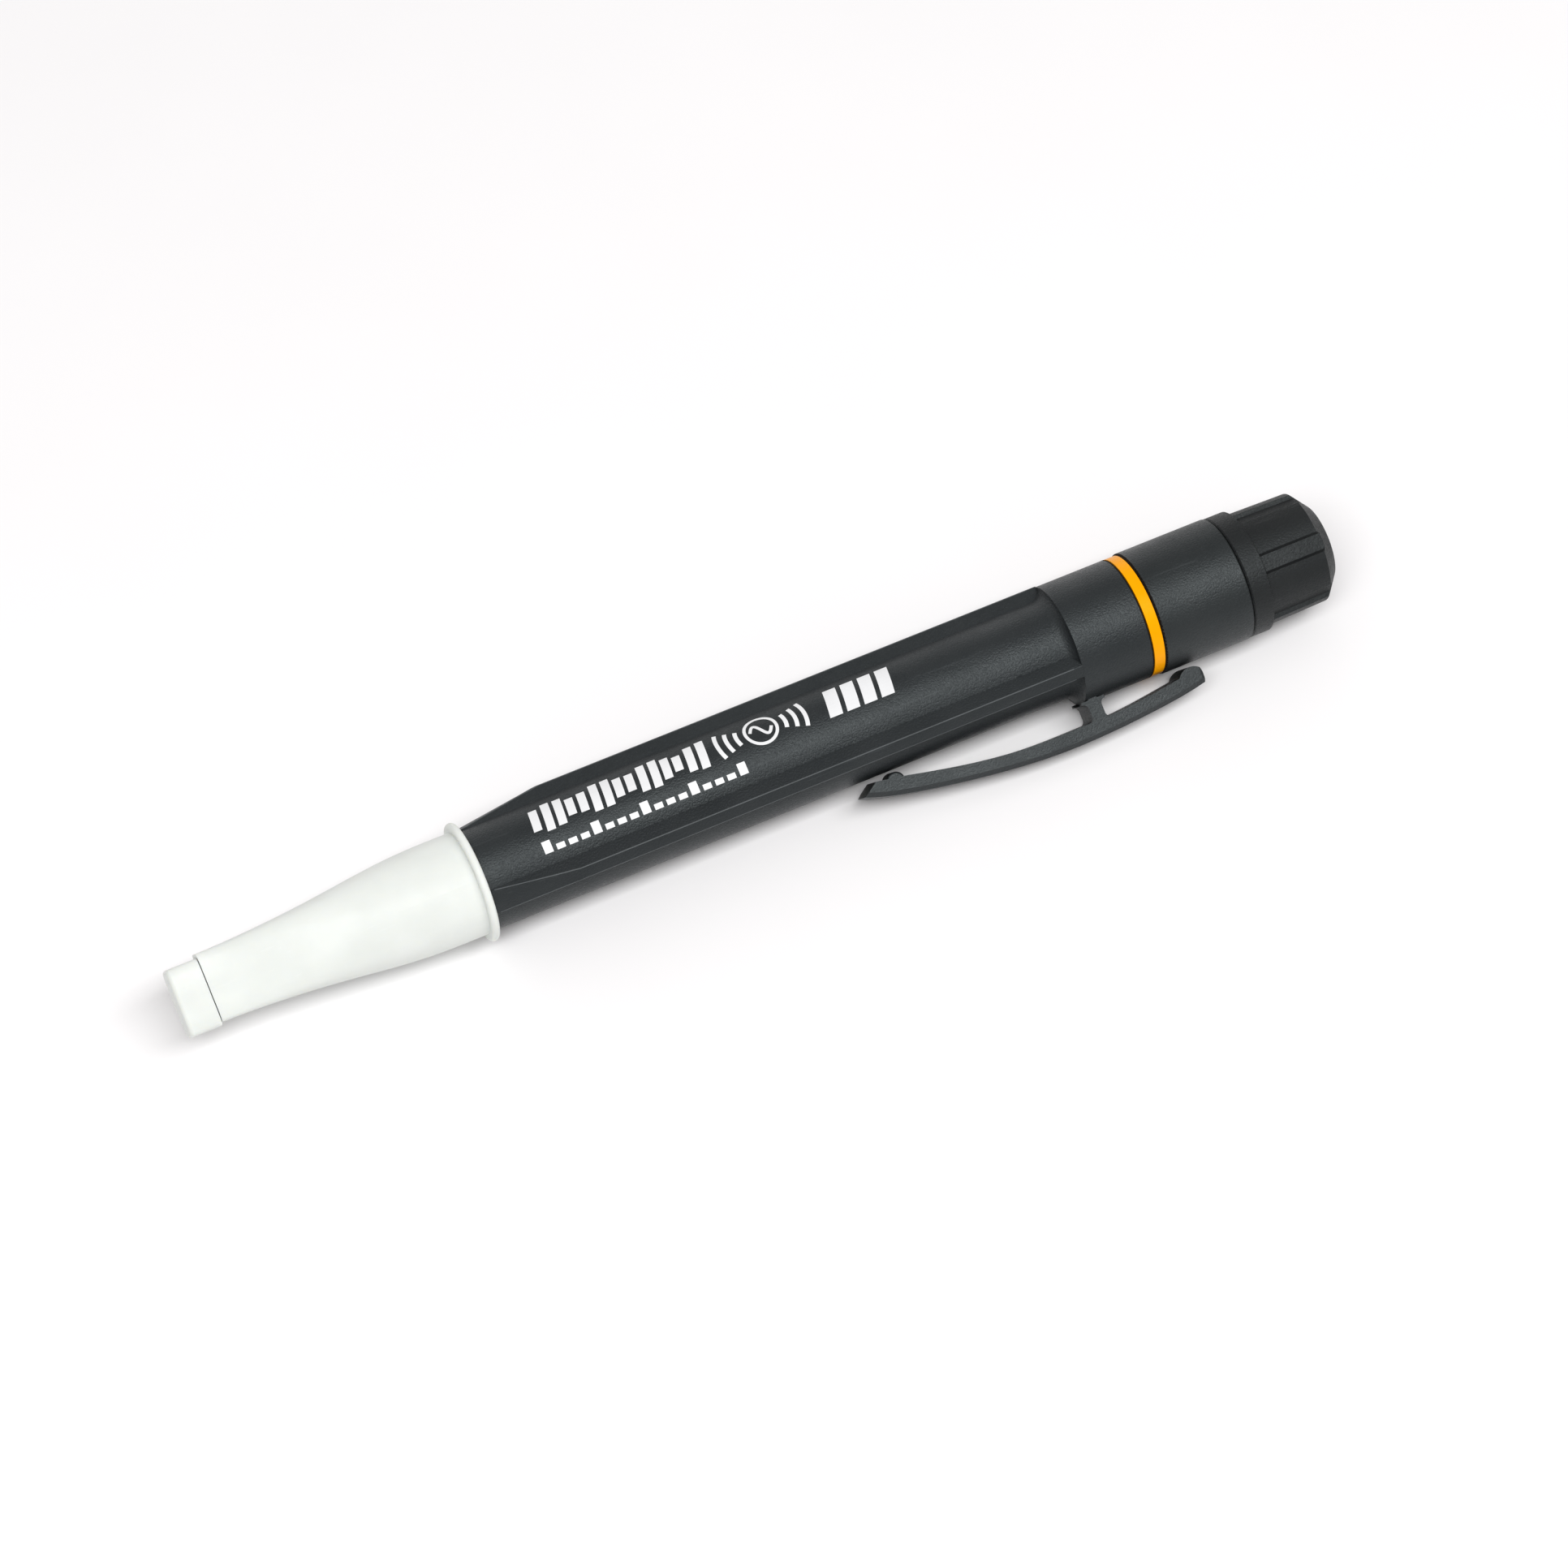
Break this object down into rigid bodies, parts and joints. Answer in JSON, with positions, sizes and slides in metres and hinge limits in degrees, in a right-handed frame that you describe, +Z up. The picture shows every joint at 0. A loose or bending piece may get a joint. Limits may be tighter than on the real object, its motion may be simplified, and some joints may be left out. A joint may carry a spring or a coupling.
{
  "type": "non contact voltage tester",
  "caption": "Pen-shaped voltage tester with a white sensing nose, three-lobed grip, pocket clip, yellow ring and screw-on fluted end cap.",
  "frame": {"origin": "bottom centre of the tool as it lies on a table, rolled onto the edge of its clip", "axes": "+X along the tool from the sensing tip to the end cap, +Z up, clip on the -Y side"},
  "size_m": [0.162, 0.0208, 0.0168],
  "materials": {
    "nose_plastic": "satin",
    "barrel_plastic": "matte",
    "clip_plastic": "satin",
    "sleeve_plastic": "satin",
    "cap_plastic": "matte",
    "ring_plastic": "gloss",
    "inner_plastic": "matte",
    "seal_rubber": "matte",
    "board_laminate": "satin",
    "chip_body": "matte",
    "capacitor_ceramic": "satin",
    "lamp_lens": "gloss",
    "tinned_metal": "satin",
    "nickel_metal": "satin",
    "spring_steel": "satin",
    "antenna_copper": "satin",
    "cell_steel": "polished",
    "cell_paste": "matte",
    "cell_film": "gloss",
    "cell_nylon": "matte"
  },
  "bodies": {
    "barrel": {"nose_shell": "nose_plastic", "nose_end_cap": "nose_plastic", "nose_seal_ring": "seal_rubber", "antenna_plate": "antenna_copper", "indicator_led": "lamp_lens", "led_leads": "tinned_metal", "circuit_board": "board_laminate", "sensing_chip": "chip_body", "sensing_chip_leads": "tinned_metal", "chip_resistors": "chip_body", "chip_capacitors": "capacitor_ceramic", "transistor": "chip_body", "board_carrier": "inner_plastic", "front_contact": "nickel_metal", "barrel": "barrel_plastic", "contact_strip": "nickel_metal", "accent_ring": "ring_plastic", "rear_sleeve": "sleeve_plastic", "front_cell_can": "cell_steel", "front_cell_contents": "cell_paste", "front_cell_jacket": "cell_film", "front_cell_gasket": "cell_nylon", "front_cell_base_plate": "cell_steel", "rear_cell_can": "cell_steel", "rear_cell_contents": "cell_paste", "rear_cell_jacket": "cell_film", "rear_cell_gasket": "cell_nylon", "rear_cell_base_plate": "cell_steel"},
    "clip": {"pocket_clip": "clip_plastic"},
    "cap_lead": {"rear_contact_cup": "nickel_metal", "battery_spring": "spring_steel"},
    "cap": {"end_cap": "cap_plastic", "cap_seal_ring": "seal_rubber"}
  },
  "joints": [
    {"name": "clip_flex", "type": "hinge", "parent": "barrel", "child": "clip", "pos_m": [0.04394, -0.00398, 0.00504], "axis": [0, -0.493, 0.87], "range_deg": [0, 1.68], "stiffness_Nm_per_rad": 1.5},
    {"name": "cap_travel", "type": "slide", "parent": "barrel", "child": "cap_lead", "axis": [1, 0, 0], "range_m": [0, 0.0045]},
    {"name": "cap_turn", "type": "hinge", "parent": "cap_lead", "child": "cap", "pos_m": [0.06759, 0.00198, 0.00842], "axis": [1, 0, 0], "range_deg": [0, 1080]}
  ],
  "couplings": [
    {"joint": "cap_travel", "follows": "cap_turn", "m_per_rad": 0.00023873}
  ]
}
